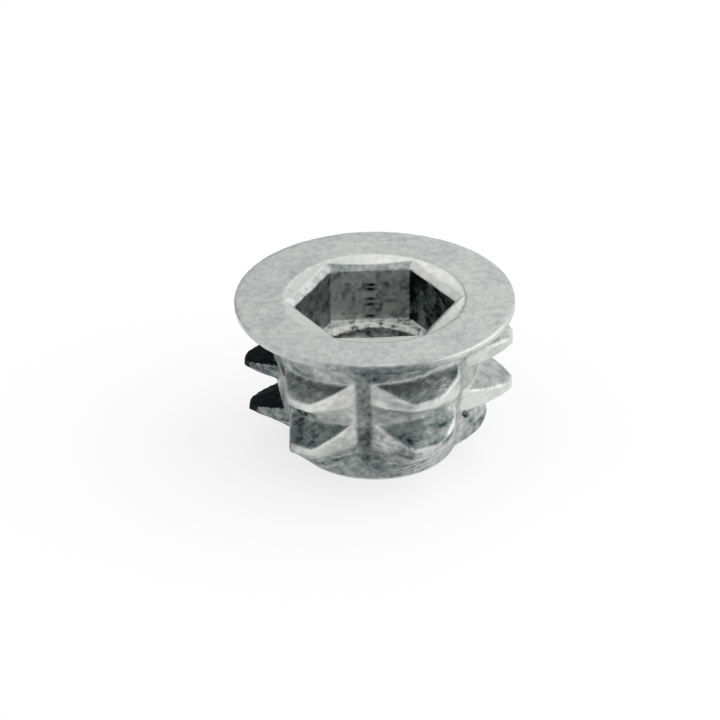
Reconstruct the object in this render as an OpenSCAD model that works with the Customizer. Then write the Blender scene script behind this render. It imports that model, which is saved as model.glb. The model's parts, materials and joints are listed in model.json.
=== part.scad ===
// Hex-drive threaded insert for wood: one zinc die-casting with a thin flange,
// a hexagon socket, a through bore for a machine thread and a coarse outer
// wood thread whose turns are broken into wedge teeth by upright strips.
// Units are millimetres. The nose stands on z = 0 and the flange is on top.

/* [Flange] */
// Diameter of the flange
flange_d = 16.2; // [15.9:0.1:20]
// Thickness of the flange at its rim
rim_t = 0.45; // [0.35:0.05:0.8]
// Thickness of the flange where it meets the core
flange_root_t = 0.85; // [0.8:0.05:1.4]
// Rounding of the rim's two edges
rim_edge_r = 0.12; // [0.04:0.02:0.16]

/* [Core] */
// Overall length, from the nose to the top of the flange
insert_h = 9.5; // [8.5:0.05:20]
// Diameter of the core under the flange
core_top_d = 12.4; // [11.6:0.1:13]
// Diameter of the core where the nose taper begins
core_knee_d = 11.4; // [10.8:0.1:12]
// Height of that place above the nose
core_knee_z = 3.8; // [2.5:0.1:5]
// Diameter of the nose at its lower end
nose_d = 9.5; // [9:0.1:10.4]
// Rounding of the nose's lower edge
nose_edge_r = 0.25; // [0.1:0.05:0.4]

/* [Drive socket] */
// Size of the hexagon across its flats
hex_af = 8.1; // [7.2:0.05:8.6]
// Depth of the hexagon below the flange's top
hex_depth = 3.75; // [2.5:0.05:5]
// Width of the bevel along the hexagon's edges
hex_bevel_w = 0.34; // [0.2:0.02:0.4]
// Height of that bevel
hex_bevel_h = 0.3; // [0.2:0.02:0.5]
// Diameter of the shallow countersink around the hexagon
countersink_d = 10.45; // [10.2:0.05:11.4]
// Slope of the countersink from the flange's top, in degrees
countersink_slope = 8; // [4:1:15]

/* [Machine thread] */
// Diameter of the through bore, the crest of the machine thread
bore_d = 6.7; // [5.6:0.05:7]
// Width of the bevel at both ends of the bore
bore_bevel = 0.3; // [0.1:0.05:0.4]

/* [Wood thread] */
// Diameter over the crests of the teeth
thread_d = 15.6; // [14:0.1:15.8]
// Rise of the thread in one turn
pitch = 3; // [2.6:0.1:4]
// Number of teeth, and of the strips between them, in one turn
teeth_per_turn = 6; // [5:1:8]
// Direction of the lowest tooth, in degrees from the hexagon's corner
first_tooth_angle = -10; // [-60:5:60]
// Height at which the thread's line starts below the lowest tooth
thread_start_z = 0.68; // [0.5:0.02:1.6]
// Least height of a crest above the nose
lead_z = 1.5; // [1.3:0.1:2]
// Diameter over the crest of the lowest tooth
lead_d = 12.6; // [12:0.1:13.4]
// Number of teeth over which the thread grows to its full diameter
lead_teeth = 4; // [2:1:6]
// Distance kept between the flange and the highest crest
crest_to_flange = 0.6; // [0.4:0.05:1]
// Width of the lowest tooth's crest
lead_w = 1.1; // [0.5:0.1:1.2]
// Width of the blunt crest of the other teeth
crest_w = 0.4; // [0.3:0.05:0.6]
// Length of the crest at full diameter, in degrees
crest_angle = 11.6; // [6:0.4:18]
// Width of a strip between two teeth, in degrees
strip_angle = 9; // [5:0.5:14]
// Slope of a tooth's upper flank, in degrees
upper_flank = 29; // [22:1:32]
// Slope of a tooth's lower flank, in degrees
lower_flank = 26; // [20:1:30]

/* [Hidden] */
$fn = 96;

// Small overlap that keeps cuts clear of shared faces
cut = 0.2;
// Depth by which a tooth's base is set into the core
base_sink = 0.2;
// Depth of a tooth's innermost point under the core's surface
base_depth = 1;
// Number of straight steps in a rounded edge
arc_steps = 5;
// As-cast zinc
zinc = [0.72, 0.73, 0.73];

flange_r = flange_d / 2;
under_z = insert_h - flange_root_t;
rim_z = insert_h - rim_t;
core_top_r = core_top_d / 2;
core_knee_r = core_knee_d / 2;
nose_r = nose_d / 2;
bore_r = bore_d / 2;
ledge_z = insert_h - hex_depth;
hex_corner_r = hex_af / sqrt(3);
bevel_corner_r = (hex_af + 2 * hex_bevel_w) / sqrt(3);
countersink_r = countersink_d / 2;
countersink_h = countersink_r * tan(countersink_slope);
// The bevel ends where its flats meet the countersink
bevel_top_z = insert_h - (countersink_r - hex_af / 2 - hex_bevel_w) * tan(countersink_slope);
// Share of the bevel by which its cut runs on above the flange
bevel_run_on = 1 + (insert_h + cut - bevel_top_z) / hex_bevel_h;
thread_r = thread_d / 2;
lead_r = lead_d / 2;
step_angle = 360 / teeth_per_turn;
step_rise = pitch / teeth_per_turn;
tooth_half = (step_angle - strip_angle) / 2;
crest_half = crest_angle / 2;
highest_crest = under_z - crest_to_flange;
tooth_count = floor((highest_crest - thread_start_z) / step_rise) + 1;

// Points of an arc round (x, z), from one angle to another
function arc(x, z, r, from, to) =
    [for (i = [0:arc_steps])
        let (a = from + (to - from) * i / arc_steps)
        [x + r * cos(a), z + r * sin(a)]];

// Radius of the core at a height: a steep nose taper, then a slight one
function core_r(z) =
    z < core_knee_z
        ? nose_r + (core_knee_r - nose_r) * z / core_knee_z
        : core_knee_r + (core_top_r - core_knee_r) * (z - core_knee_z) / (under_z - core_knee_z);

// Crest radius of a tooth: it grows over the first few teeth
function crest_r(k) = thread_r - (thread_r - lead_r) * max(0, 1 - k / lead_teeth);

// Crest height of a tooth: it follows the helix, but never sinks into the nose
function crest_z(k) = max(lead_z, thread_start_z + k * step_rise);

// A point at an angle from the tooth's middle, with the helix's rise at that angle
function on_helix(a, r, z) = [r * cos(a), r * sin(a), z + step_rise * a / step_angle];

// Outline of the core and flange, from the axis round to the axis
function outline() = concat(
    [[0, 0]],
    arc(nose_r - nose_edge_r, nose_edge_r, nose_edge_r, -90, 0),
    [[core_knee_r, core_knee_z], [core_top_r, under_z]],
    arc(flange_r - rim_edge_r, rim_z + rim_edge_r, rim_edge_r, -90, 0),
    arc(flange_r - rim_edge_r, insert_h - rim_edge_r, rim_edge_r, 0, 90),
    [[0, insert_h]]);

// One wedge tooth: a piece of a buttress thread with a blunt crest, an upper and a
// lower flank, cut at each end by a ramp that falls to the strip.
module tooth(k) {
    tip_r = crest_r(k);
    tip_z = crest_z(k);
    half_w = (k == 0 ? lead_w : crest_w) / 2;
    foot_r = core_r(tip_z);
    base_r = foot_r - base_sink;
    // The ramps run on past the strip's edge to the sunken base
    run_on = (tip_r - base_r) / (tip_r - foot_r);
    end_a = crest_half + (tooth_half - crest_half) * run_on;
    top_h = half_w + (tip_r - base_r) * tan(upper_flank);
    low_h = half_w + (tip_r - base_r) * tan(lower_flank);
    top_r = core_r(tip_z + top_h) - base_sink;
    low_r = core_r(max(0, tip_z - low_h)) - base_sink;
    points = [
        on_helix(-crest_half, tip_r, tip_z + half_w),
        on_helix(crest_half, tip_r, tip_z + half_w),
        on_helix(crest_half, tip_r, tip_z - half_w),
        on_helix(-crest_half, tip_r, tip_z - half_w),
        on_helix(-end_a, base_r, tip_z + top_h),
        on_helix(-crest_half, top_r, tip_z + top_h),
        on_helix(crest_half, top_r, tip_z + top_h),
        on_helix(end_a, base_r, tip_z + top_h),
        on_helix(end_a, base_r, tip_z - half_w),
        on_helix(crest_half, low_r, tip_z - low_h),
        on_helix(-crest_half, low_r, tip_z - low_h),
        on_helix(-end_a, base_r, tip_z - half_w),
        on_helix(0, foot_r - base_depth, tip_z)];
    crest = [[0, 1, 2], [0, 2, 3]];
    upper = [[5, 6, 1], [5, 1, 0], [4, 5, 0], [6, 7, 1]];
    lower = [[9, 10, 3], [9, 3, 2], [10, 11, 3], [8, 9, 2]];
    ramps = [[4, 0, 3], [4, 3, 11], [1, 7, 8], [1, 8, 2]];
    back = [for (i = [4:11]) [i == 11 ? 4 : i + 1, i, 12]];
    rotate([0, 0, first_tooth_angle + k * step_angle])
        polyhedron(points, concat(crest, upper, lower, ramps, back));
}

// Hexagon socket with bevelled edges, inside a shallow countersink
module drive_socket() {
    translate([0, 0, ledge_z])
        cylinder(r = hex_corner_r, h = hex_depth + cut, $fn = 6);
    translate([0, 0, bevel_top_z - hex_bevel_h])
        cylinder(
            r1 = hex_corner_r,
            r2 = hex_corner_r + (bevel_corner_r - hex_corner_r) * bevel_run_on,
            h = hex_bevel_h * bevel_run_on,
            $fn = 6);
    translate([0, 0, insert_h - countersink_h])
        cylinder(r1 = 0, r2 = countersink_r, h = countersink_h);
    translate([0, 0, insert_h])
        cylinder(r = countersink_r, h = cut);
}

// Through bore, bevelled at the nose and at the socket's floor
module thread_bore() {
    translate([0, 0, -cut])
        cylinder(r = bore_r, h = ledge_z + 2 * cut);
    translate([0, 0, -cut])
        cylinder(r1 = bore_r + bore_bevel + cut, r2 = bore_r, h = bore_bevel + cut);
    translate([0, 0, ledge_z - bore_bevel])
        cylinder(r1 = bore_r, r2 = bore_r + bore_bevel + cut, h = bore_bevel + cut);
}

module threaded_insert() {
    color(zinc)
        difference() {
            union() {
                rotate_extrude() polygon(outline());
                for (k = [0:tooth_count - 1]) tooth(k);
            }
            drive_socket();
            thread_bore();
        }
}

threaded_insert();
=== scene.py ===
"""Looks of a hex-drive threaded insert: one as-cast zinc sleeve on a pale studio floor.

The casting is one closed surface, worked out on a grid that runs round the axis
(columns) and once round the sleeve's section (rows): foot, nose, toothed sleeve,
flange, countersink, hexagon socket, ledge, machine thread and back to the foot.
"""
import json
import math
from collections import namedtuple

import bpy
import numpy as np
from bpy.props import FloatProperty, FloatVectorProperty, IntProperty, PointerProperty
from mathutils import Matrix, Vector


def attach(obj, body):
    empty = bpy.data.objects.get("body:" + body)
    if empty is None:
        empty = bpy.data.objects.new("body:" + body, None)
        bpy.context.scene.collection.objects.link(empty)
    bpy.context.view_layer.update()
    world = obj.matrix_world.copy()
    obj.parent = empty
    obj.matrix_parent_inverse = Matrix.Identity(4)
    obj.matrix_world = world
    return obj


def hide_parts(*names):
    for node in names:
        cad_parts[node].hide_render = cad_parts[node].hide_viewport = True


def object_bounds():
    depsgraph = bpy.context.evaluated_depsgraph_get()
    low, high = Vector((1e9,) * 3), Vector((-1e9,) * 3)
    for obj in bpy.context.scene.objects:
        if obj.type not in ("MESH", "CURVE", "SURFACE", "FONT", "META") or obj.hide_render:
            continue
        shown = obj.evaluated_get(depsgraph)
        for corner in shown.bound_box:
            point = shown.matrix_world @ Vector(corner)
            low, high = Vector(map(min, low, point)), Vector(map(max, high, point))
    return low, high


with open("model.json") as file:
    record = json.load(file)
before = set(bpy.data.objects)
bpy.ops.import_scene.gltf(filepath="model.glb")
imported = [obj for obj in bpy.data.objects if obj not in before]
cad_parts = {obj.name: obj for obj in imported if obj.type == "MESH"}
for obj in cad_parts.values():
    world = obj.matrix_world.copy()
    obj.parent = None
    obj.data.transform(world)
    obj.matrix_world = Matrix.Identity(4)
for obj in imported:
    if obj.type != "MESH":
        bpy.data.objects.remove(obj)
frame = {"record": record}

bl_info = {
    "name": "Threaded insert",
    "version": (1, 0, 0),
    "blender": (4, 5, 0),
    "location": "3D View > Sidebar > Insert",
    "description": "Builds an as-cast, hex-drive threaded insert and a plain studio round it",
    "category": "Add Mesh",
}

MM = 0.001
NODE = "threaded_insert"
CAD_LOW, CAD_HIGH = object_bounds()
THREAD_MOUNT = next(m for m in frame["record"]["mounts"] if m["name"] == "thread")
# Side of the photograph, in pixels
PHOTO_SIDE = 720

# Grid columns in one of the six sectors: strip, ramp, crest, ramp
STRIP_COLS = 8
RAMP_COLS = 20
CREST_COLS = 12
SECTORS = 6
SECTOR_COLS = STRIP_COLS + 2 * RAMP_COLS + CREST_COLS
COLS = SECTORS * SECTOR_COLS
SECTOR_ANGLE = 360 / SECTORS

# Grid rows: in the toothed sleeve for one tooth's rise, then in each stretch of the section
ROWS_PER_RISE = 6
FOOT_ROWS = 4
ARC_ROWS = 5
UNDER_ROWS = 9
TOP_ROWS = 18
CONE_ROWS = 7
BEVEL_ROWS = 5
FLAT_ROWS = 42
LEDGE_ROWS = 9
LIP_ROWS = 6
BORE_ROWS = 57

# Upright rows of teeth, counted from the lowest tooth's row on; the first holds the teeth whose upper flanks
# carry a painted dark reflection
DARK_REFLECTION_ROW = 3
FRONT_LEFT_ROW = 4
FRONT_RIGHT_ROW = 5
# Rows that one of the die's parting lines runs through; their ends beyond it are stout
STOUT_ROWS = (2, 5)

# The arrays down to the heights of the bright ends have one value for each of these rows.
# How far the die failed to fill the teeth, as a share of the largest
SHORT_ROWS = np.array([0, 0, 0, 0, 0.9, 1.0])
# Degrees by which the crest starts late
LATE_ROWS = np.array([6.5, 0, 0, 6.5, 0, 0])
# Shares of the upper and of the lower flank's full slope
UPPER_SHARE = np.array([0.8, 1, 1, 0.55, 1, 1])
LOWER_SHARE = np.array([0.85, 1, 1, 1, 1, 1])
# Rise of the crests above the helix
ROW_LIFT = np.array([0.4, 0, 0, 0, 0, 0]) * MM
# Painted shade on the upper flanks; on the darkest row it turns to a painted dark reflection
FLANK_SHADE = np.array([0.14, 0.30, 0.45, 1.06, 0.40, 0.34])
# Brightening of the teeth's ends, a painted highlight and bare metal, and the heights above which it shows
BRIGHT_ENDS = np.array([0.36, 0.3, 0.3, 0.0, 0.55, 0.22])
BRIGHT_FROM = np.array([2.9, 2.0, 2.0, 2.0, 2.5, 3.6]) * MM

# Distance by which that row's painted dark reflection runs on over the crests
DARK_REFLECTION_OVER = 0.45 * MM
# Share of skin and painted shade at which its colour is the cool shade; from there on it turns to the darkest
# painted shade and dark reflection
SHADE_AT = 0.8

# Heights over which the teeth's set-off grows above the nose and fades out below the flange
LEAN_IN = 1.5 * MM
LEAN_OUT = 0.8 * MM

# Machine thread: shares of the pitch, from a crest's middle, at which the crest ends and the root begins
BOLT_CREST = 0.125
BOLT_ROOT = 0.4375

# Lumps: size of a lattice cell, and seed
BROAD_LUMPS = (1.1 * MM, 11)
FINE_LUMPS = (0.3 * MM, 12)
TOOTH_LUMPS = (0.7 * MM, 13)
COARSE_CRUMBS = (0.28 * MM, 14)
FINE_CRUMBS = (0.14 * MM, 15)
COARSE_MOTTLES = (0.50 * MM, 21)
FINE_MOTTLES = (0.20 * MM, 22)
STREAKS = (0.16 * MM, 23)
# Scratches: how many times longer than wide, and their rise for a unit of length round the sleeve
STREAK_LENGTH = 8
STREAK_RISE = 0.11

# A mark on the casting: direction in degrees from +X, height of its middle, and how far it
# reaches each way round the axis and along it
Mark = namedtuple("Mark", "turn z width height")
# A metre, so far that a mark of this height doesn't fade along the insert
WHOLE_HEIGHT = 1.0


def upright(turn, width):
    """A mark that runs over the whole height."""
    return Mark(turn, 0, width, WHOLE_HEIGHT)


# Socket: angle of one flat, middles of three flats, and notches and a ridge in one of them
HEX_ANGLE = 60
RIGHT_FLAT = 30
NOTCHED_FLAT = 90
LEFT_FLAT = 150
NOTCHES = [Mark(NOTCHED_FLAT, z * MM, 0.36 * MM, 0.11 * MM) for z in (6.0, 6.8, 7.15, 7.8, 8.1)]
NOTCH_DEPTH = 0.01 * MM
FLAT_RIDGE = Mark(82, 6.9 * MM, 0.12 * MM, 0.6 * MM)
FLAT_RIDGE_H = 0.06 * MM
# Height at which the rib begins, and over which it grows
RIB_FROM = 1.4 * MM
RIB_GROWS = 1 * MM
# Blow hole beside the lowest tooth
PIT = Mark(-27, 3.05 * MM, 0.17 * MM, 0.17 * MM)
PIT_DEPTH = 0.35 * MM
# Lumps on the lowest tooth
LUMP_H = 0.12 * MM
LUMP_REACH = (2.2 * MM, 1.3 * MM)
# Painted shadow between a tooth's end and the flange
GAP_SHADOW = Mark(-156, 6.4 * MM, 0.5 * MM, 0.6 * MM)
# Darkening of the sleeve: a painted dark reflection on the strip in front, dark patches on the strip on the
# left and on the lowest tooth, painted shade on the nose's left side, and the width of the dark stain along
# the seam
FRONT_DARK_REFLECTION = upright(-98, 1.3 * MM)
LEFT_DARK_PATCH = upright(-160, 0.9 * MM)
LUMP_DARK_PATCH = Mark(-20, 2.3 * MM, 1.2 * MM, 0.6 * MM)
NOSE_LEFT_SHADE = upright(-124, 2.0 * MM)
SEAM_STAIN_W = 0.10 * MM
# The lower teeth, the lowest ends and the nose are darker, the nose by painted shade: where that starts, and
# how far it grows
LOW_TEETH_Z, LOW_TEETH_FADE = 5.5 * MM, 2 * MM
LOW_ENDS_Z, LOW_ENDS_FADE = 2.7 * MM, 0.5 * MM
NOSE_SHADE_Z, NOSE_SHADE_FADE = 2.9 * MM, 1.2 * MM
# Reach of the painted shadow under the flange in front, and of the painted highlight along the rim's edge
HOOD_TURN, HOOD_REACH = -88, (2.8 * MM, 2.1 * MM)
RIM_GLINT_TURN, RIM_GLINT_REACH = -48, (3.2 * MM, 0.12 * MM)
# Depth below the ledge's bevel to which the bore is torn
TORN_DEPTH = 0.8 * MM
# Widths over which a tooth's foot, its upper flank and (in degrees) a strip blend into what is beside them
FOOT_BLEND = 0.25 * MM
FLANK_BLEND = 0.18 * MM
STRIP_BLEND = 1.5
# Middle of the side on which the countersink and its bevel get a painted highlight
CRESCENT_GLINT_TURN = 35

# Unevenness in millimetres, by zone: broad lumps, finer grain, torn metal
BROAD_RELIEF = {"sleeve": 0.035, "under": 0.02, "rim": 0.012, "top": 0.005, "cone": 0.010, "bevel": 0.015,
                "flats": 0.030, "ledge": 0.05, "torn": 0.05, "bore": 0.015}
FINE_RELIEF = {"sleeve": 0.026, "under": 0.012, "rim": 0.016, "top": 0.003, "cone": 0.006, "bevel": 0.010,
               "flats": 0.018, "bore": 0.010}
TORN_RELIEF = {"ledge": 0.12, "torn": 0.12}
# Zones where the unevenness only takes away, so that the outer sizes hold
TAKEN_ZONES = ("rim", "top")

# Share of the finest grain in the material's relief
GRAIN_SHARE = 0.4

# Corners of the dark cards, in millimetres: before the nose, and behind on the left
FRONT_FLAG = [(-5, -40, 0.2), (3, -40, 0.2), (2, -6, 0.2), (-1.5, -6, 0.2)]
BACK_FLAG = [(-80, 35, 0), (0, 60, 0), (0, 60, 24), (-80, 35, 24)]
# Direction of the dark corner in the light all round
DARK_CORNER = (-0.6, 0.79, 0.1)
# Key light: place, aim, side and power
KEY_PLACE = (0.35, -0.02, 0.25)
KEY_AIM = (0, 0, 0.005)
KEY_SIDE = 0.55
KEY_WATTS = 0.8
# Width of the camera's sensor
SENSOR_MM = 36


def size(label, default, about):
    """A length in metres that a user may change."""
    return FloatProperty(name=label, default=default, description=about, subtype="DISTANCE",
                         unit="LENGTH", precision=6)


def angle(label, degrees, about):
    """An angle in degrees that a user may change."""
    return FloatProperty(name=label, default=degrees, description=about)


def number(label, default, about):
    """A plain number that a user may change."""
    return FloatProperty(name=label, default=default, description=about)


def colour(label, rgb, about):
    """A linear colour that a user may change."""
    return FloatVectorProperty(name=label, default=rgb, description=about, subtype="COLOR", min=0, max=1)


class InsertSizes(bpy.types.PropertyGroup):
    """Sizes of the casting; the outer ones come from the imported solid."""

    insert_h: size("Length", CAD_HIGH[2] - CAD_LOW[2], "From the nose to the flange's top")
    flange_r: size("Flange radius", (CAD_HIGH[1] - CAD_LOW[1]) / 2, "Outer radius of the flange")
    rim_t: size("Rim thickness", 0.45 * MM, "Thickness of the flange at its rim")
    root_t: size("Flange root", 0.85 * MM, "Thickness of the flange at the sleeve")
    rim_edge_r: size("Rim rounding", 0.08 * MM, "Rounding of the rim's edges")
    core_top_r: size("Core radius, top", 6.2 * MM, "Radius of the sleeve under the flange")
    core_knee_r: size("Core radius, knee", 5.7 * MM, "Radius where the nose taper begins")
    core_knee_z: size("Knee height", 3.8 * MM, "Height of that place above the nose")
    nose_r: size("Nose radius", 4.75 * MM, "Radius at the lower end")
    nose_edge_r: size("Nose rounding", 0.25 * MM, "Rounding of the lower edge")
    hex_half: size("Half hexagon", 4.05 * MM, "From the axis to a flat of the socket")
    hex_depth: size("Socket depth", 3.75 * MM, "From the flange's top to the ledge")
    hex_bevel_w: size("Bevel width", 0.34 * MM, "Width of the bevel along the hexagon")
    hex_bevel_h: size("Bevel height", 0.3 * MM, "Height of that bevel")
    countersink_r: size("Countersink radius", 5.225 * MM, "Radius of the shallow countersink")
    countersink_step: size("Countersink step", 0.04 * MM, "Small step round the countersink")
    countersink_slope: angle("Countersink slope", 8.0, "Degrees below the flange's top")
    bore_r: size("Bore radius", THREAD_MOUNT["dims"]["r_mm"] * MM, "Crest radius of the machine thread")
    bore_bevel: size("Bore bevel", 0.3 * MM, "Bevel at both ends of the bore")
    bolt_pitch: size("Machine pitch", 1.25 * MM, "Rise of the machine thread in one turn")
    bolt_groove: size("Machine groove", 0.62 * MM, "Depth of the machine thread's groove")
    thread_r: size("Tooth radius", 7.8 * MM, "Radius over the crests of the teeth")
    pitch: size("Wood pitch", 3.0 * MM, "Rise of the wood thread in one turn")
    first_angle: angle("First tooth", -10.0, "Direction of the lowest tooth, degrees from +X")
    start_z: size("Thread start", 0.68 * MM, "Height at which the thread's line starts")
    first_z: size("First height", 2.25 * MM, "Height of the lowest tooth's crest")
    lead_z: size("Lead height", 1.75 * MM, "Least height of the other crests")
    lead_r: size("Lead radius", 6.3 * MM, "Crest radius of the lowest tooth")
    lead_teeth: IntProperty(name="Lead teeth", default=4, description="Teeth until the full radius")
    lead_power: number("Lead power", 1.5, "Growth of the first teeth; 1 is even")
    short_fill: size("Short fill", 0.45 * MM, "Length by which the front teeth fall short in the die")
    tooth_count: IntProperty(name="Teeth", default=15, description="Number of teeth in all")
    lead_w: size("Lead width", 1.1 * MM, "Width of the lowest tooth's crest")
    lead_soft: size("Lead rounding", 0.5 * MM, "Rounding of the lowest tooth's edges")
    crest_w: size("Crest width", 0.4 * MM, "Width of the blunt crest")
    crest_angle: angle("Crest angle", 11.6, "Length of the full crest, in degrees")
    strip_angle: angle("Strip angle", 9.0, "Width of the strip between teeth, in degrees")
    stout_drop: size("Stout drop", 0.8 * MM, "Depth of a tooth's end beside the die's parting line")
    stout_power: number("Stout power", 0.5, "Bulge of the ramp there; 1 is straight")
    thread_shift: size("Thread shift", 0.2 * MM, "Distance of the teeth off centre, towards +X")
    upper_flank: angle("Upper flank", 29.0, "Slope of a tooth's upper flank")
    lower_flank: angle("Lower flank", 26.0, "Slope of a tooth's lower flank")
    first_flank: angle("First flank", 48.0, "Slope of the lowest tooth's lower flank")
    stub_flank: angle("Stub flank", 36.0, "Slope of that flank on the lowest short teeth")
    edge_soft: size("Edge softness", 0.05 * MM, "Rounding of cast edges")
    seam_angle: angle("Seam", -67.0, "Direction of the die's first parting line; the other is opposite")
    seam_w: size("Seam width", 0.14 * MM, "Width of the raised parting line")
    seam_h: size("Seam height", 0.035 * MM, "Height of the raised parting line")
    rib_angle: angle("Rib", -43.0, "Direction of the smooth rib in one strip")
    rib_w: size("Rib width", 0.27 * MM, "Half width of that rib")
    rib_h: size("Rib height", 0.14 * MM, "Height of that rib")


class InsertFinish(bpy.types.PropertyGroup):
    """Colours of the cast metal and of the shade painted on it."""

    zinc: colour("Zinc", (0.618, 0.632, 0.618), "Open as-cast surface")
    # Shade: colour of the mottles, and of the painted shade in recesses and under the flange
    shade: colour("Shade", (0.116, 0.146, 0.141), "Mottles and the skin in recesses")
    # Darkest colour: the deepest painted shade, and the painted dark reflection on one row of teeth
    soot: colour("Soot", (0.003, 0.006, 0.006), "Thickest skin")
    torn: colour("Torn edge", (0.84, 0.84, 0.825), "Bright torn metal on the ledge")


class InsertStage(bpy.types.PropertyGroup):
    """Studio and camera."""

    floor: colour("Floor", (0.92, 0.92, 0.92), "Pale floor")
    floor_half: size("Floor half", 1.2, "Half of the floor's side")
    floor_lift: FloatProperty(name="Floor lift", default=0.7, min=0, max=1, subtype="FACTOR",
                              description="Share of white in the floor that the camera sees")
    flag: colour("Flag", (0.03, 0.035, 0.04), "Dark cards, seen only in the metal")
    aim_z: size("Aim height", 5 * MM, "Height of the point that the camera looks at")
    camera_far: size("Camera distance", 220 * MM, "From that point to the camera")
    elevation: angle("Elevation", 30.1, "Camera above the floor, in degrees")
    azimuth: angle("Azimuth", -3.44, "Camera round the axis, in degrees from -Y")
    roll: angle("Roll", -0.37, "Turn of the picture, in degrees")
    focal_px: number("Focal length", 3788.0, "In pixels of the photograph")
    centre_px: FloatVectorProperty(name="Centre", size=2, default=(375.1, 364.9),
                                   description="Pixel of the photograph at which the camera aims")


# Shapes

def smooth_step(t):
    """0 below 0, 1 above 1, and 3t^2 - 2t^3 between."""
    t = np.clip(t, 0, 1)
    return t * t * (3 - 2 * t)


def soft_max(a, b, soft):
    """The larger of two surfaces, with the corner between them rounded over `soft`."""
    return 0.5 * (a + b + np.sqrt((a - b) ** 2 + soft ** 2)) - 0.5 * soft


def soft_min(a, b, soft):
    """The smaller of two surfaces, with the corner between them rounded over `soft`."""
    return -soft_max(-a, -b, soft)


def value_noise(points, cell, seed):
    """Smooth lumps from -1 to 1: random values on a cubic lattice, blended inside each cell."""
    side = 32
    lattice = np.random.default_rng(seed).uniform(-1, 1, (side, side, side))
    scaled = points / cell
    base = np.floor(scaled).astype(int)
    t = smooth_step(scaled - base)
    total = np.zeros(points.shape[:-1])
    for corner in np.ndindex(2, 2, 2):
        at = [(base[..., i] + corner[i]) % side for i in range(3)]
        weight = np.ones(points.shape[:-1])
        for i in range(3):
            weight = weight * (t[..., i] if corner[i] else 1 - t[..., i])
        total += weight * lattice[at[0], at[1], at[2]]
    return total


def outer_angles(s):
    """Column directions in degrees, with a column on each edge of strip, ramp and crest."""
    half_strip = s.strip_angle / 2
    crest_from = SECTOR_ANGLE / 2 - s.crest_angle / 2
    crest_to = SECTOR_ANGLE / 2 + s.crest_angle / 2
    marks = np.cumsum([0, STRIP_COLS, RAMP_COLS, CREST_COLS, RAMP_COLS])
    turns = [-half_strip, half_strip, crest_from, crest_to, SECTOR_ANGLE - half_strip]
    col = np.arange(COLS)
    strip_centre = s.first_angle - SECTOR_ANGLE / 2
    sector = col // SECTOR_COLS
    return strip_centre + SECTOR_ANGLE * sector + np.interp(col % SECTOR_COLS, marks, turns)


def inner_angles(s):
    """Even column directions in degrees, with a column on each corner of the hexagon."""
    step = 360 / COLS
    start = round(outer_angles(s)[0] / step) * step
    return start + step * np.arange(COLS)


def core_radius(s, z):
    """Radius of the sleeve's core: a steep taper up to the knee, then a slight one."""
    under_z = s.insert_h - s.root_t
    return np.interp(z, [0, s.core_knee_z, under_z], [s.nose_r, s.core_knee_r, s.core_top_r])


def tooth_row(s, turn):
    """Row of teeth at a direction (degrees), and the angle from the row's middle."""
    steps = (turn - s.first_angle) / SECTOR_ANGLE
    nearest = np.round(steps)
    return np.mod(nearest, SECTORS).astype(int), (steps - nearest) * SECTOR_ANGLE


def tooth_half(s):
    """Angle from a row's middle to the edge of the strip beside it."""
    return (SECTOR_ANGLE - s.strip_angle) / 2


def tooth_surfaces(s, turn, z):
    """For each lap of the thread: the teeth's rounding (0 where there is no tooth), and the
    radii of their lower flanks, upper flanks and ends.

    A tooth is a ridge along the helix with a blunt crest, an upper and a lower flank. Ramps
    cut its two ends: they fall from the crest to the core at the strips, and bulge out
    beside the die's two parting lines.
    """
    rise = s.pitch / SECTORS
    half = tooth_half(s)
    row, off = tooth_row(s, turn)
    crest_half = s.crest_angle / 2
    climb = (half + off) / (half - crest_half + LATE_ROWS[row])
    ramp = np.minimum(1, np.minimum(climb, (half - off) / (half - crest_half)))
    stout = np.isin(row, STOUT_ROWS) & (off > 0)
    ramp = np.where(stout, np.sign(ramp) * np.abs(ramp) ** s.stout_power, ramp)
    drop = np.where(stout, s.stout_drop * (1 - ramp), 0)
    for lap in range(math.ceil(s.tooth_count / SECTORS)):
        k = row + SECTORS * lap
        growth = np.maximum(0, 1 - k / s.lead_teeth) ** s.lead_power
        full_r = s.thread_r - (s.thread_r - s.lead_r) * growth
        tip_r = full_r - s.short_fill * SHORT_ROWS[row]
        helix_z = np.maximum(s.lead_z, s.start_z + k * rise) + ROW_LIFT[row]
        line_z = np.where(k == 0, s.first_z, helix_z)
        crest_z = line_z + rise * off / SECTOR_ANGLE
        half_w = np.where(k == 0, s.lead_w, s.crest_w) / 2
        foot_r = core_radius(s, crest_z)
        # A short tooth keeps its foot, so its flanks are steeper
        steep = (full_r - foot_r) / (tip_r - foot_r)
        stub = (SHORT_ROWS[row] > 0) & (lap == 0)
        low_flank = np.select([k == 0, stub], [s.first_flank, s.stub_flank], s.lower_flank)
        up_slope = UPPER_SHARE[row] * math.tan(math.radians(s.upper_flank))
        above = np.maximum(0, z - crest_z - half_w) / (steep * up_slope)
        low_slope = np.where(k == 0, 1, LOWER_SHARE[row]) * np.tan(np.radians(low_flank))
        below = np.maximum(0, crest_z - half_w - drop - z) / (steep * low_slope)
        soft = np.where(k == 0, s.lead_soft, s.edge_soft) * (k < s.tooth_count)
        yield soft, tip_r - below, tip_r - above, foot_r + (tip_r - foot_r) * ramp - below


def thread_lean(s, turn, z):
    """How far the die has set the teeth off centre: shift cos(turn), fading out at nose and flange."""
    under_z = s.insert_h - s.root_t
    set_off = smooth_step((z - s.nose_edge_r) / LEAN_IN) * smooth_step((under_z - z) / LEAN_OUT)
    return s.thread_shift * set_off * np.cos(np.radians(turn))


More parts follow.
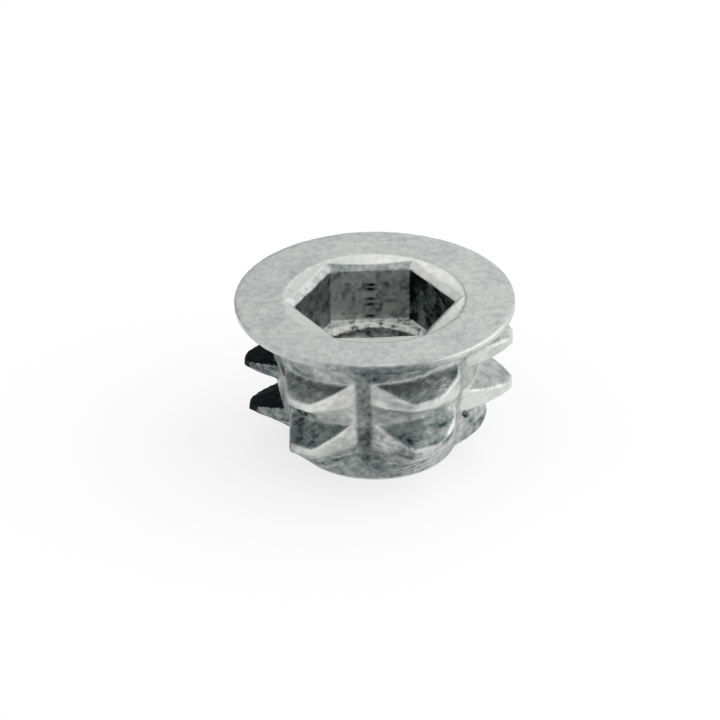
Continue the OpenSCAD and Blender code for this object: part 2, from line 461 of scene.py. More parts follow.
def sleeve_radius(s, turn, z):
    """Radius of the toothed sleeve at a direction (degrees) and height.

    The sleeve is the largest of the core and all the teeth, each the smallest of its
    surfaces. The teeth lean to one side, and there the core goes with them.
    """
    lean = thread_lean(s, turn, z)
    surface = core_radius(s, z) + np.maximum(lean, 0)
    for soft, lower, upper, ends in tooth_surfaces(s, turn, z):
        tooth = soft_min(soft_min(upper, lower, soft), ends, soft) + lean
        surface = np.where(soft > 0, soft_max(surface, tooth, s.edge_soft), surface)
    return surface


def from_flat(turn):
    """Angle in radians between a direction and the middle of the hexagon's flat there.

    The hexagon has a corner on +X.
    """
    return np.radians(np.mod(turn, HEX_ANGLE) - HEX_ANGLE / 2)


def arc_rows(centre_r, centre_z, radius, start, end):
    """Radius and height along an arc of the section, angles in degrees."""
    a = np.radians(np.linspace(start, end, ARC_ROWS))
    return centre_r + radius * np.cos(a), centre_z + radius * np.sin(a)


class Section:
    """Collects the rows of the grid: each row has a radius, a height and a direction per column."""

    def __init__(self):
        self.radius, self.height, self.turn, self.zone = [], [], [], []

    def add(self, zone, radius, height, turn):
        """Adds rows; a single number or a column of numbers is spread over all columns."""
        spread = np.broadcast_arrays(*(np.atleast_2d(values) for values in (radius, height, turn)))
        shape = (spread[0].shape[0], COLS)
        for store, values in zip((self.radius, self.height, self.turn), spread):
            store.append(np.broadcast_to(values, shape))
        self.zone += [zone] * shape[0]

    def points(self):
        """The grid's points: (r cos a, r sin a, z)."""
        r, z, a = (np.concatenate(rows) for rows in (self.radius, self.height, self.turn))
        a = np.radians(a)
        return np.stack([r * np.cos(a), r * np.sin(a), z], axis=-1)


def column(values):
    """Numbers as a column, one for each row."""
    return np.asarray(values, float)[:, None]


def shares(count, skip=0):
    """A column of even shares from 0 to 1, without the first `skip`."""
    return column(np.linspace(0, 1, count)[skip:])


def casting_section(s):
    """The rows of the whole casting, from the foot round the section and back to the foot."""
    outer = outer_angles(s)
    inner = inner_angles(s)
    rise = s.pitch / SECTORS
    under_z = s.insert_h - s.root_t
    rim_z = s.insert_h - s.rim_t
    ledge_z = s.insert_h - s.hex_depth
    rows = Section()

    # Foot: a flat ring, then the nose's rounded edge
    lip_r = s.bore_r + s.bore_bevel
    rows.add("foot", column(np.linspace(lip_r, s.nose_r - s.nose_edge_r, FOOT_ROWS)), 0, outer)
    r, z = arc_rows(s.nose_r - s.nose_edge_r, s.nose_edge_r, s.nose_edge_r, -90, 0)
    rows.add("foot", column(r[1:-1]), column(z[1:-1]), outer)

    # Sleeve: rows climb with each tooth and step back in the strips
    level = np.arange(s.nose_edge_r, under_z, rise / ROWS_PER_RISE)
    half = tooth_half(s)
    _, off = tooth_row(s, outer)
    half_strip = SECTOR_ANGLE / 2 - half
    back = np.sign(off) * half * (SECTOR_ANGLE / 2 - np.abs(off)) / half_strip
    saw = np.where(np.abs(off) <= half, off, back)
    ease = np.minimum(1, np.minimum(level - level[0], level[-1] - level) / rise)
    height = column(level) + column(ease) * rise * saw / SECTOR_ANGLE
    rows.add("sleeve", sleeve_radius(s, outer, height), height, outer)

    # Flange: underside, rounded rim, flat top
    root_r = np.maximum(s.core_top_r, sleeve_radius(s, outer, under_z))
    under_r = root_r + (s.flange_r - s.rim_edge_r - root_r) * shares(UNDER_ROWS)
    slope = (rim_z - under_z) / (s.flange_r - s.rim_edge_r - s.core_top_r)
    rows.add("under", under_r, under_z + (under_r - s.core_top_r) * slope, outer)
    r, z = arc_rows(s.flange_r - s.rim_edge_r, rim_z + s.rim_edge_r, s.rim_edge_r, -90, 0)
    rows.add("rim", column(r[1:]), column(z[1:]), outer)
    r, z = arc_rows(s.flange_r - s.rim_edge_r, s.insert_h - s.rim_edge_r, s.rim_edge_r, 0, 90)
    rows.add("rim", column(r), column(z), outer)
    share = shares(TOP_ROWS, 1)
    top_r = s.flange_r - s.rim_edge_r + (s.countersink_r - s.flange_r + s.rim_edge_r) * share
    rows.add("top", top_r, s.insert_h, outer + (inner - outer) * smooth_step(share))

    # Socket: shallow cone, bevel along the hexagon, flats, ledge
    tip = from_flat(inner)
    cone = math.tan(math.radians(s.countersink_slope))
    bevel = s.hex_bevel_h / s.hex_bevel_w
    cone_z = s.insert_h - s.countersink_step
    bevel_z = cone_z - (s.countersink_r - s.hex_half - s.hex_bevel_w) * cone - s.hex_bevel_h
    meet = cone_z - s.countersink_r * cone - bevel_z + s.hex_half * bevel
    step_r = s.countersink_r - s.countersink_step
    edge_r = np.minimum(meet / (bevel * np.cos(tip) - cone), step_r - s.countersink_step / 2)
    flat_r = s.hex_half / np.cos(tip)
    cone_r = step_r + (edge_r - step_r) * shares(CONE_ROWS)
    rows.add("cone", cone_r, cone_z - (s.countersink_r - cone_r) * cone, inner)
    edge_z = cone_z - (s.countersink_r - edge_r) * cone
    share = shares(BEVEL_ROWS, 1)
    rows.add("bevel", edge_r + (flat_r - edge_r) * share, edge_z + (bevel_z - edge_z) * share, inner)
    rows.add("flats", flat_r, column(np.linspace(bevel_z, ledge_z, FLAT_ROWS)[1:]), inner)
    rows.add("ledge", flat_r + (lip_r - flat_r) * shares(LEDGE_ROWS, 1), ledge_z, inner)

    # Bore: bevel, machine thread, bevel
    share = shares(LIP_ROWS, 1)[:-1]
    rows.add("torn", lip_r - s.bore_bevel * share, ledge_z - s.bore_bevel * share, inner)
    level = column(np.linspace(ledge_z - s.bore_bevel, s.bore_bevel, BORE_ROWS))
    rows.add("bore", bore_radius(s, inner, level), level, inner)
    rows.add("foot", column([s.bore_r + s.bore_bevel / 2]), s.bore_bevel / 2, inner)
    return rows


def bore_radius(s, turn, z):
    """Radius of the machine thread: a right-hand V groove with a flat crest and a narrow flat root."""
    phase = np.mod(z / s.bolt_pitch - turn / 360, 1)
    groove = np.clip((np.abs(phase - 0.5) - BOLT_CREST) / (BOLT_ROOT - BOLT_CREST), 0, 1)
    fade = smooth_step((z - s.bore_bevel) / (0.5 * s.bolt_pitch))
    return s.bore_r + s.bolt_groove * groove * fade


def grid_normals(points):
    """Outward normals of a grid that closes on itself in both directions."""
    along = np.roll(points, -1, axis=1) - np.roll(points, 1, axis=1)
    across = np.roll(points, -1, axis=0) - np.roll(points, 1, axis=0)
    normal = np.cross(along, across)
    return normal / np.maximum(np.linalg.norm(normal, axis=-1, keepdims=True), 1e-12)


# Marks of casting

def direction(points):
    """Direction round the axis, in degrees from +X."""
    return np.degrees(np.arctan2(points[..., 1], points[..., 0]))


def bump_at(points, mark, radius):
    """A mark as a smooth bump of height 1: exp(-(arc/width)^2 - (rise/height)^2)."""
    off = np.mod(direction(points) - mark.turn + 180, 360) - 180
    arc = np.radians(off) * radius
    return np.exp(-(arc / mark.width) ** 2 - ((points[..., 2] - mark.z) / mark.height) ** 2)


def crumbs(points):
    """Grains of the torn ledge, about -1 to 1: lumps of two sizes."""
    return 0.6 * value_noise(points, *COARSE_CRUMBS) + 0.6 * value_noise(points, *FINE_CRUMBS)


def mottles(points, coarse, fine):
    """Uneven cover of the skin: coarse and fine lumps, each by its share."""
    return coarse * value_noise(points, *COARSE_MOTTLES) + fine * value_noise(points, *FINE_MOTTLES)


def streaks(s, points):
    """Long scratches along the thread's turns, -1 to 1: lumps drawn out along the helix."""
    arc = np.radians(direction(points)) * s.core_top_r
    across = points[..., 2] - STREAK_RISE * arc
    drawn = np.stack([arc / STREAK_LENGTH, np.zeros(arc.shape), across], axis=-1)
    return value_noise(drawn, *STREAKS)


def by_zone(heights, zone):
    """Heights in metres, one for each row, from millimetres by zone; 0 for a zone left out."""
    return column([heights.get(name, 0.0) for name in zone]) * MM


def cast_relief(points, zone):
    """Height of the casting's unevenness along the normal: broad lumps and finer grain, by zone."""
    taken = column([1.0 if name in TAKEN_ZONES else 0.0 for name in zone])
    lumps = by_zone(BROAD_RELIEF, zone) * (value_noise(points, *BROAD_LUMPS) - taken)
    grain = by_zone(FINE_RELIEF, zone) * (value_noise(points, *FINE_LUMPS) - taken)
    return lumps + grain + by_zone(TORN_RELIEF, zone) * crumbs(points)


def socket_notches(s, points):
    """Column of short level notches in one flat of the socket, 1 at their middles."""
    return np.max([bump_at(points, notch, s.hex_half) for notch in NOTCHES], axis=0)


def smooth_rib(s, points):
    """Upright rib in one strip, 1 along its middle, that fades out above the nose."""
    rib = bump_at(points, upright(s.rib_angle, s.rib_w), s.core_top_r)
    return rib * smooth_step((points[..., 2] - RIB_FROM) / RIB_GROWS)


def die_marks(s, points, zone):
    """Marks left by the die, along the normal.

    They are the parting lines, a rib, a blow hole and a lumpy lowest tooth on the sleeve,
    and notches and a ridge in one flat of the socket.
    """
    sleeve = s.rib_h * smooth_rib(s, points)
    for side in (0, 180):
        sleeve += s.seam_h * bump_at(points, upright(s.seam_angle + side, s.seam_w), s.nose_r)
    sleeve -= PIT_DEPTH * bump_at(points, PIT, s.core_top_r)
    first = bump_at(points, Mark(s.first_angle, s.first_z, *LUMP_REACH), s.lead_r)
    sleeve += LUMP_H * first * value_noise(points, *TOOTH_LUMPS)
    flats = FLAT_RIDGE_H * bump_at(points, FLAT_RIDGE, s.hex_half)
    flats -= NOTCH_DEPTH * socket_notches(s, points)
    return np.select([zone == "sleeve", zone == "flats"], [sleeve, flats], 0.0)


def tooth_faces(s, points):
    """Shares of upper flank, strip and tooth's end at each point of the sleeve."""
    turn = direction(points)
    z = points[..., 2]
    core = core_radius(s, z)
    flank = np.zeros(turn.shape)
    proud = np.zeros(turn.shape)
    row, off = tooth_row(s, turn)
    over = np.where(row == DARK_REFLECTION_ROW, DARK_REFLECTION_OVER, 0)
    sunk = np.minimum(thread_lean(s, turn, z), 0)
    for soft, lower, upper, ends in tooth_surfaces(s, turn, z):
        tooth = np.minimum(np.minimum(upper, lower), ends) + sunk
        raised = (soft > 0) * smooth_step((tooth - core) / FOOT_BLEND + 1.2)
        inside = smooth_step((np.minimum(lower, ends) - upper + over) / FLANK_BLEND)
        proud = np.maximum(proud, raised)
        flank = np.maximum(flank, raised * inside)
    strip = smooth_step((np.abs(off) - tooth_half(s)) / STRIP_BLEND + 0.5)
    return flank, strip, proud * (1 - flank) * (1 - strip)


def on_flat(points, middle):
    """Where the points belong to the flat of the socket with this middle direction."""
    return np.abs(direction(points) - middle) < HEX_ANGLE / 2


def torn_share(s, points, zone):
    """How far the metal is torn: the whole ledge and its bevel, fading out below the bore's mouth."""
    depth = s.insert_h - s.hex_depth - s.bore_bevel - points[..., 2]
    mouth = 1 - smooth_step(depth / TORN_DEPTH)
    return np.select([np.isin(zone, ["ledge", "torn"]), zone == "bore"], [1.0, mouth], 0.0)


def hood_shadow(s, points):
    """Painted shadow under the flange in front, 1 at its middle."""
    return bump_at(points, Mark(HOOD_TURN, s.insert_h, *HOOD_REACH), s.core_top_r)


def sleeve_skin_and_shade(s, points):
    """Share of dark skin and painted shade on the toothed sleeve: the largest of its patches, with mottles
    and scratches.

    Upper flanks have most, as painted shade, and more on the lower teeth; one row's upper flanks carry a
    painted dark reflection. Strips, with a painted dark reflection in front, the nose, with painted shade,
    darkened ends, a painted shadow under the flange and beside one tooth's end, and painted shade in the blow
    hole have some.
    """
    z = points[..., 2]
    turn = direction(points)
    row, off = tooth_row(s, turn)
    upper, strip, ends = tooth_faces(s, points)
    left_row = row == FRONT_LEFT_ROW
    right_row = row == FRONT_RIGHT_ROW
    sooty = row == DARK_REFLECTION_ROW
    past_seam = smooth_step(np.sin(np.radians(turn - s.seam_angle)) / 0.08 + 0.5)
    low = smooth_step((LOW_TEETH_Z - z) / LOW_TEETH_FADE)

    # Painted shade on upper flanks, a painted dark reflection on the dark row; in the left front row also on
    # the core between them, and less on the dark row's rear
    between = (1 - strip) * (1 - ends) * left_row * smooth_step((3 - off) / 5)
    rear = smooth_step((-10 - off) / 12) * sooty
    cover = FLANK_SHADE[row] + 0.24 * low + 0.02 * past_seam * right_row - 0.5 * rear
    flank = np.maximum(upper, between) * cover

    # Darkened ends: all of the dark row's, as part of its painted dark reflection, the lower ones on the
    # right, the far and lowest ones on the left
    left_end = smooth_step(-off / 6) * left_row
    beneath = smooth_step((LOW_ENDS_Z - z) / LOW_ENDS_FADE) * left_row
    dark_ends = ends * (0.64 * sooty + 0.14 * low * right_row + 0.22 * np.maximum(left_end, beneath))

    front = bump_at(points, FRONT_DARK_REFLECTION, s.core_knee_r)
    side = bump_at(points, NOSE_LEFT_SHADE, s.nose_r)
    seam = bump_at(points, upright(s.seam_angle, SEAM_STAIN_W), s.nose_r)
    at_nose = smooth_step((NOSE_SHADE_Z - z) / NOSE_SHADE_FADE)
    rib = smooth_rib(s, points)
    # Patches: a painted dark reflection on the front strip and the nose, painted shade on the nose's left, a
    # painted shadow under the flange and between a tooth's end and the flange, dark patches on the left strip
    # and the lowest tooth, a darker rib, and painted shade in the blow hole
    patches = [
        flank,
        dark_ends,
        (0.15 + 0.38 * front) * strip * (1 - rib),
        (0.25 + 0.18 * front + 0.24 * side + 0.2 * seam) * at_nose,
        hood_shadow(s, points),
        bump_at(points, GAP_SHADOW, s.core_top_r),
        0.45 * bump_at(points, LEFT_DARK_PATCH, s.core_top_r),
        0.47 * bump_at(points, LUMP_DARK_PATCH, s.lead_r),
        0.25 * rib,
        1.2 * bump_at(points, PIT, s.core_top_r),
    ]
    scratched = (0.06 + 0.18 * ends + 0.26 * past_seam * right_row) * streaks(s, points)
    mottled = mottles(points, 0.2, 0.14) * (1 + 0.7 * ends * ~sooty - 0.35 * upper)
    return np.max(patches, axis=0) + (mottled + scratched) * (1 - 0.7 * rib)


def skin_and_shade_cover(s, points, zone):
    """Share of dark casting skin and painted shade, about 0 to 1, by zone: sleeve, flange, socket, torn ledge
    and bore.
    """
    back = on_flat(points, NOTCHED_FLAT)
    # Painted shade on the socket's flats: darkest on the right flat and in the notches, lightest on the back
    # one, with mottles
    wall = np.select([on_flat(points, RIGHT_FLAT), back], [0.80, 0.04], 0.46)
    grainy = np.where(back, mottles(points, 0.34, 0.5), mottles(points, 0.3, 0.22))
    flats = np.maximum(wall + grainy, 1.1 * socket_notches(s, points))
    # Painted shade on the bevel along the hexagon, most at the back, with mottles
    bevel = np.select([back, on_flat(points, LEFT_FLAT)], [0.42, 0.14], 0.08) + mottles(points, 0.1, 0.2)
    torn = 0.7 * smooth_step(0.25 - crumbs(points) / 0.8)
    share = torn_share(s, points, zone)
    # Painted shade under the flange and in the bore below its torn mouth, and a painted shadow on the rim in
    # front; the countersink is kept light
    cases = {
        "sleeve": sleeve_skin_and_shade(s, points),
        "under": 0.83,
        "rim": 0.65 * hood_shadow(s, points),
        "flats": flats,
        "bevel": bevel,
        "cone": -0.12,
        "ledge": torn,
        "torn": torn,
        "bore": share * torn + (1 - share) * (0.82 + mottles(points, 0.2, 0.2)),
    }
    return np.select([zone == name for name in cases], list(cases.values()), 0.0)


def bare_and_glint_cover(s, points, zone):
    """Share of bright metal, 0 to 1: bare torn metal and painted highlights.

    The ledge's torn grains have most; teeth's ends (bare metal and a painted highlight), a painted highlight
    along the rim's edge, and a painted highlight on the countersink and bevel on one side have less.
    """
    turn = direction(points)
    row, off = tooth_row(s, turn)
    _, _, ends = tooth_faces(s, points)
    torn = torn_share(s, points, zone) * smooth_step(0.78 + crumbs(points) / 0.9)
    # Painted highlight on the countersink and its bevel, on the side towards the right back; less on the back
    # bevel
    crescent_glint_side = smooth_step(np.cos(np.radians(turn - CRESCENT_GLINT_TURN)) + 0.08)
    crescent_glint = 0.52 * crescent_glint_side * (1 + mottles(points, 0.3, 0.5))
    above_lead = smooth_step((points[..., 2] - BRIGHT_FROM[row]) / (0.7 * MM))
    near_front = np.where(row == FRONT_LEFT_ROW, 0.1 + 0.9 * smooth_step((off + 4) / 10), 1)
    clean = near_front * (1 - bump_at(points, GAP_SHADOW, s.core_top_r))
    # Teeth's ends: a painted highlight and bare metal, above the lowest teeth and away from the painted
    # shadow by the gap
    bright_ends = BRIGHT_ENDS[row] * ends * above_lead * clean * (1 + mottles(points, 0.5, 0.6))
    # Painted highlight along the rim's upper edge on the front right
    rim_glint = 0.8 * bump_at(points, Mark(RIM_GLINT_TURN, s.insert_h, *RIM_GLINT_REACH), s.flange_r)
    bevel = np.where(on_flat(points, NOTCHED_FLAT), 0.2, 1) * crescent_glint
    cases = {"sleeve": bright_ends, "rim": rim_glint, "cone": crescent_glint, "bevel": bevel}
    return np.clip(np.select([zone == name for name in cases], list(cases.values()), torn), 0, 1)


def metal_cover(s, points, zone, bare_and_glint):
    """Share of metallic shine, 0 to 1: torn grains and painted highlights scatter the light, and the flanks
    of the row painted with a dark reflection are matt.
    """
    row, _ = tooth_row(s, direction(points))
    upper, _, _ = tooth_faces(s, points)
    soot = (zone == "sleeve") * upper * (row == DARK_REFLECTION_ROW)
    return 1 - 0.8 * bare_and_glint - 0.95 * soot * (1 - bare_and_glint)


def closed_grid_mesh(name, points):
    """A mesh of quads over a grid that closes on itself in both directions."""
    count, cols = points.shape[:2]
    row = np.arange(count)[:, None]
    col = np.arange(cols)[None, :]
    next_row = (row + 1) % count
    next_col = (col + 1) % cols
    corners = [(row, col), (row, next_col), (next_row, next_col), (next_row, col)]
    quads = np.stack([at_row * cols + at_col for at_row, at_col in corners], axis=-1)
    mesh = bpy.data.meshes.new(name)
    mesh.vertices.add(count * cols)
    mesh.vertices.foreach_set("co", points.reshape(-1).astype(np.float32))
    mesh.loops.add(quads.size)
    mesh.loops.foreach_set("vertex_index", quads.reshape(-1).astype(np.int32))
    mesh.polygons.add(quads.size // 4)
    mesh.polygons.foreach_set("loop_start", np.arange(0, quads.size, 4, dtype=np.int32))
    mesh.update(calc_edges=True)
    mesh.validate()
    mesh.polygons.foreach_set("use_smooth", np.ones(len(mesh.polygons), bool))
    return mesh


def point_attribute(mesh, name, values):
    """Stores one number per point, for the material to read."""
    layer = mesh.attributes.new(name, "FLOAT", "POINT")
    layer.data.foreach_set("value", values.reshape(-1).astype(np.float32))


# Finish

def add_node(tree, kind, **settings):
    """A node with some of its settings and inputs filled in; inputs are given by their names."""
    node = tree.nodes.new(kind)
    for key, value in settings.items():
        if hasattr(node, key):
            setattr(node, key, value)
        else:
            node.inputs[key.replace("_", " ")].default_value = value
    return node


def zinc_material(finish):
    """As-cast zinc: mottled light grey metal, darker skin and painted shade in recesses, a painted dark
    reflection on one row of teeth, painted highlights, and bare bright metal where it tore.
    """
    material = bpy.data.materials.new("as_cast_zinc")
    material.use_nodes = True
    tree = material.node_tree
    shader = tree.nodes["Principled BSDF"]
    place = add_node(tree, "ShaderNodeTexCoord").outputs["Object"]
    cloud = add_node(tree, "ShaderNodeTexNoise", Scale=480.0, Detail=4.0, Roughness=0.6)
    mottle = add_node(tree, "ShaderNodeTexNoise", Scale=2100.0, Detail=6.0, Roughness=0.72)
    grain = add_node(tree, "ShaderNodeTexNoise", Scale=6500.0, Detail=2.0, Roughness=0.6)
    for texture in (cloud, mottle, grain):
        tree.links.new(place, texture.inputs["Vector"])

    # Skin and painted shade, made gritty, with faint clouds and small spots on top, turns from zinc to shade
    # to the darkest painted shade
    faint = add_node(tree, "ShaderNodeMapRange", From_Min=0.35, From_Max=0.7, To_Min=-0.04, To_Max=0.10)
    spots = add_node(tree, "ShaderNodeMapRange", From_Min=0.40, From_Max=0.68, To_Min=0.0, To_Max=0.28)
    grit = add_node(tree, "ShaderNodeMapRange", From_Min=0.3, From_Max=0.7, To_Min=0.9, To_Max=1.1)
    tree.links.new(cloud.outputs["Fac"], faint.inputs["Value"])
    tree.links.new(mottle.outputs["Fac"], spots.inputs["Value"])
    tree.links.new(grain.outputs["Fac"], grit.inputs["Value"])
    skin_and_shade = add_node(tree, "ShaderNodeAttribute", attribute_name="skin_and_shade")
    bare_and_glint = add_node(tree, "ShaderNodeAttribute", attribute_name="bare_and_glint")
    grainy = add_node(tree, "ShaderNodeMath", operation="MULTIPLY")
    tree.links.new(skin_and_shade.outputs["Fac"], grainy.inputs[0])
    tree.links.new(grit.outputs["Result"], grainy.inputs[1])
    dark = grainy.outputs[0]
    for layer in (faint, spots):
        total = add_node(tree, "ShaderNodeMath", operation="ADD")
        tree.links.new(dark, total.inputs[0])
        tree.links.new(layer.outputs["Result"], total.inputs[1])
        dark = total.outputs[0]
    base = add_node(tree, "ShaderNodeValToRGB")
    stops = base.color_ramp.elements
    stops.new(SHADE_AT)
    for stop, rgb in zip(stops, (finish.zinc, finish.shade, finish.soot)):
        stop.color = (*rgb, 1)
    tree.links.new(dark, base.inputs["Fac"])
    bright = add_node(tree, "ShaderNodeMix", data_type="RGBA")
    bright.inputs["B"].default_value = (*finish.torn, 1)
    tree.links.new(bare_and_glint.outputs["Fac"], bright.inputs["Factor"])
    tree.links.new(base.outputs["Color"], bright.inputs["A"])
    tree.links.new(bright.outputs["Result"], shader.inputs["Base Color"])

    # Shine and fine relief
    metal = add_node(tree, "ShaderNodeAttribute", attribute_name="metal")
    tree.links.new(metal.outputs["Fac"], shader.inputs["Metallic"])
    shader.inputs["Specular IOR Level"].default_value = 0.05
    gloss = add_node(tree, "ShaderNodeMapRange", From_Min=0.3, From_Max=0.7, To_Min=0.36, To_Max=0.56)
    tree.links.new(grain.outputs["Fac"], gloss.inputs["Value"])
    tree.links.new(gloss.outputs["Result"], shader.inputs["Roughness"])
    rough = add_node(tree, "ShaderNodeMath", operation="MULTIPLY_ADD")
    rough.inputs[1].default_value = GRAIN_SHARE
    tree.links.new(grain.outputs["Fac"], rough.inputs[0])
    tree.links.new(mottle.outputs["Fac"], rough.inputs[2])
    bump = add_node(tree, "ShaderNodeBump", Strength=0.6, Distance=0.08 * MM)
    tree.links.new(rough.outputs[0], bump.inputs["Height"])
    tree.links.new(bump.outputs["Normal"], shader.inputs["Normal"])
    return material


def matt_material(name, rgb):
    """Plain matt surface for the stage."""
    material = bpy.data.materials.new(name)
    material.use_nodes = True
    shader = material.node_tree.nodes["Principled BSDF"]
    shader.inputs["Base Color"].default_value = (*rgb, 1)
    shader.inputs["Roughness"].default_value = 0.9
    shader.inputs["Specular IOR Level"].default_value = 0.1
    return material


def floor_material(rgb, lift):
    """Matt floor, lifted towards white where the camera, gloss or glass sees it; the shadow stays."""
    material = matt_material("pale_floor", rgb)
    tree = material.node_tree
    path = add_node(tree, "ShaderNodeLightPath")
    seen = add_node(tree, "ShaderNodeMath", operation="MAXIMUM")
    seen_all = add_node(tree, "ShaderNodeMath", operation="MAXIMUM")
    share = add_node(tree, "ShaderNodeMath", operation="MULTIPLY")
    share.inputs[1].default_value = lift
    white = add_node(tree, "ShaderNodeEmission", Strength=1.0)
    mix = add_node(tree, "ShaderNodeMixShader")
    tree.links.new(path.outputs["Is Camera Ray"], seen.inputs[0])
    tree.links.new(path.outputs["Is Glossy Ray"], seen.inputs[1])
    tree.links.new(seen.outputs[0], seen_all.inputs[0])
    tree.links.new(path.outputs["Is Transmission Ray"], seen_all.inputs[1])
    tree.links.new(seen_all.outputs[0], share.inputs[0])
    tree.links.new(share.outputs[0], mix.inputs["Fac"])
    tree.links.new(tree.nodes["Principled BSDF"].outputs["BSDF"], mix.inputs[1])
    tree.links.new(white.outputs["Emission"], mix.inputs[2])
    tree.links.new(mix.outputs["Shader"], tree.nodes["Material Output"].inputs["Surface"])
    return material


def studio_world():
    """Light all round, with a dark corner low on the left behind the insert."""
    world = bpy.data.worlds.new("studio")
    world.use_nodes = True
    tree = world.node_tree
    way = add_node(tree, "ShaderNodeTexCoord").outputs["Generated"]
    towards = add_node(tree, "ShaderNodeVectorMath", operation="DOT_PRODUCT")
    towards.inputs[1].default_value = Vector(DARK_CORNER).normalized()
    shade = add_node(tree, "ShaderNodeMapRange", interpolation_type="SMOOTHSTEP",
                     From_Min=0.78, From_Max=0.96, To_Min=1.0, To_Max=0.03)
    tree.links.new(way, towards.inputs[0])
    tree.links.new(towards.outputs["Value"], shade.inputs["Value"])
    tree.links.new(shade.outputs["Result"], tree.nodes["Background"].inputs["Strength"])
    tree.nodes["Background"].inputs["Color"].default_value = (1, 1, 1, 1)
    return world


# Operators

def link(obj):
    """Puts an object into the scene."""
    bpy.context.scene.collection.objects.link(obj)
    return obj


class INSERT_OT_casting(bpy.types.Operator):
    """Build the whole casting as one closed surface"""

    bl_idname = "insert.casting"
    bl_label = "Casting"

    def execute(self, context):
        s = context.scene.insert_sizes
        rows = casting_section(s)
        points = rows.points()
        normal = grid_normals(points)
        zone = np.array(rows.zone)[:, None]
        relief = cast_relief(points, rows.zone) + die_marks(s, points, zone)
        points = points + normal * relief[..., None]
        mesh = closed_grid_mesh("casting", points)
        point_attribute(mesh, "skin_and_shade", skin_and_shade_cover(s, points, zone))
        bare_and_glint = bare_and_glint_cover(s, points, zone)
        point_attribute(mesh, "bare_and_glint", bare_and_glint)
        point_attribute(mesh, "metal", metal_cover(s, points, zone, bare_and_glint))
        mesh.materials.append(zinc_material(context.scene.insert_finish))
        casting = link(bpy.data.objects.new("casting", mesh))
        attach(casting, "root")
        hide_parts(NODE)
        return {"FINISHED"}


def flat_sheet(name, corners, material):
    """A flat sheet through its corners, given anticlockwise as seen from its front."""
    mesh = bpy.data.meshes.new(name)
    mesh.from_pydata(corners, [], [tuple(range(len(corners)))])
    mesh.materials.append(material)
    sheet = link(bpy.data.objects.new(name, mesh))
    return sheet


def area_light(name, place, aim, side, watts):
    """A square soft light at a place, turned to an aim."""
    lamp = bpy.data.lights.new(name, "AREA")
    lamp.size = side
    lamp.energy = watts
    obj = link(bpy.data.objects.new(name, lamp))
    obj.location = place
    obj.rotation_euler = (Vector(aim) - Vector(place)).to_track_quat("-Z", "Y").to_euler()
    return obj


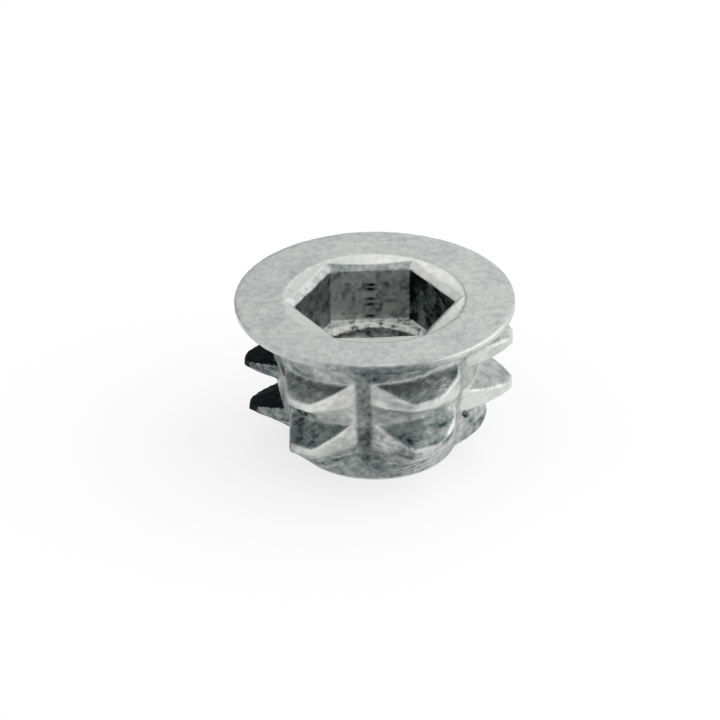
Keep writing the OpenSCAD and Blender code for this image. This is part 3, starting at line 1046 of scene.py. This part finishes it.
class INSERT_OT_stage(bpy.types.Operator):
    """Lay the floor and set the lights and the camera"""

    bl_idname = "insert.stage"
    bl_label = "Stage"

    def execute(self, context):
        stage = context.scene.insert_stage
        self.lay_floor(stage)
        self.hang_flags(stage)
        self.light(context.scene)
        self.place_camera(context.scene, stage)
        context.scene.view_settings.view_transform = "Standard"
        return {"FINISHED"}

    def lay_floor(self, stage):
        """Square floor at the height on which the nose stands."""
        far = stage.floor_half
        flat_sheet("floor", [(-far, -far, 0), (far, -far, 0), (far, far, 0), (-far, far, 0)],
                   floor_material(stage.floor, stage.floor_lift))

    def hang_flags(self, stage):
        """Dark cards before the nose and behind on the left, seen only in the metal."""
        card = matt_material("dark_card", stage.flag)
        for name, corners in (("front_flag", FRONT_FLAG), ("back_flag", BACK_FLAG)):
            flag = flat_sheet(name, [(x * MM, y * MM, z * MM) for x, y, z in corners], card)
            flag.visible_camera = False
            flag.visible_diffuse = False
            flag.visible_transmission = False
            flag.visible_shadow = False

    def light(self, scene):
        """Light all round, and a large soft key on the right."""
        scene.world = studio_world()
        area_light("key", KEY_PLACE, KEY_AIM, KEY_SIDE, KEY_WATTS)

    def place_camera(self, scene, stage):
        """Camera from its elevation, azimuth and roll; the shift puts the aim on its pixel."""
        climb = math.radians(stage.elevation)
        turn = math.radians(stage.azimuth)
        roll = math.radians(stage.roll)
        level = math.cos(climb)
        forward = Vector((-math.sin(turn) * level, math.cos(turn) * level, -math.sin(climb)))
        right = Vector((math.cos(turn), math.sin(turn), 0))
        up = right.cross(forward)
        turned_right = right * math.cos(roll) + up * math.sin(roll)
        turned_up = up * math.cos(roll) - right * math.sin(roll)
        place = Vector((0, 0, stage.aim_z)) - forward * stage.camera_far
        data = bpy.data.cameras.new("camera")
        data.sensor_width = SENSOR_MM
        data.lens = SENSOR_MM * stage.focal_px / PHOTO_SIDE
        data.shift_x = (PHOTO_SIDE / 2 - stage.centre_px[0]) / PHOTO_SIDE
        data.shift_y = (stage.centre_px[1] - PHOTO_SIDE / 2) / PHOTO_SIDE
        data.clip_start = 1 * MM
        camera = link(bpy.data.objects.new("camera", data))
        axes = Matrix((turned_right, turned_up, -forward)).transposed().to_4x4()
        camera.matrix_world = Matrix.Translation(place) @ axes
        scene.camera = camera


class INSERT_PT_panel(bpy.types.Panel):
    """Sizes, colours and build buttons"""

    bl_idname = "INSERT_PT_panel"
    bl_label = "Threaded insert"
    bl_space_type = "VIEW_3D"
    bl_region_type = "UI"
    bl_category = "Insert"

    def draw(self, context):
        layout = self.layout
        for group in (context.scene.insert_sizes, context.scene.insert_finish, context.scene.insert_stage):
            box = layout.box()
            for name in group.__annotations__:
                box.prop(group, name)
        layout.operator(INSERT_OT_casting.bl_idname)
        layout.operator(INSERT_OT_stage.bl_idname)


GROUPS = {"insert_sizes": InsertSizes, "insert_finish": InsertFinish, "insert_stage": InsertStage}
CLASSES = (*GROUPS.values(), INSERT_OT_casting, INSERT_OT_stage, INSERT_PT_panel)


def register():
    for item in CLASSES:
        bpy.utils.register_class(item)
    for name, group in GROUPS.items():
        setattr(bpy.types.Scene, name, PointerProperty(type=group))


def unregister():
    for name in GROUPS:
        delattr(bpy.types.Scene, name)
    for item in reversed(CLASSES):
        bpy.utils.unregister_class(item)


def main():
    register()
    bpy.ops.insert.casting()
    bpy.ops.insert.stage()


if __name__ == "__main__":
    main()
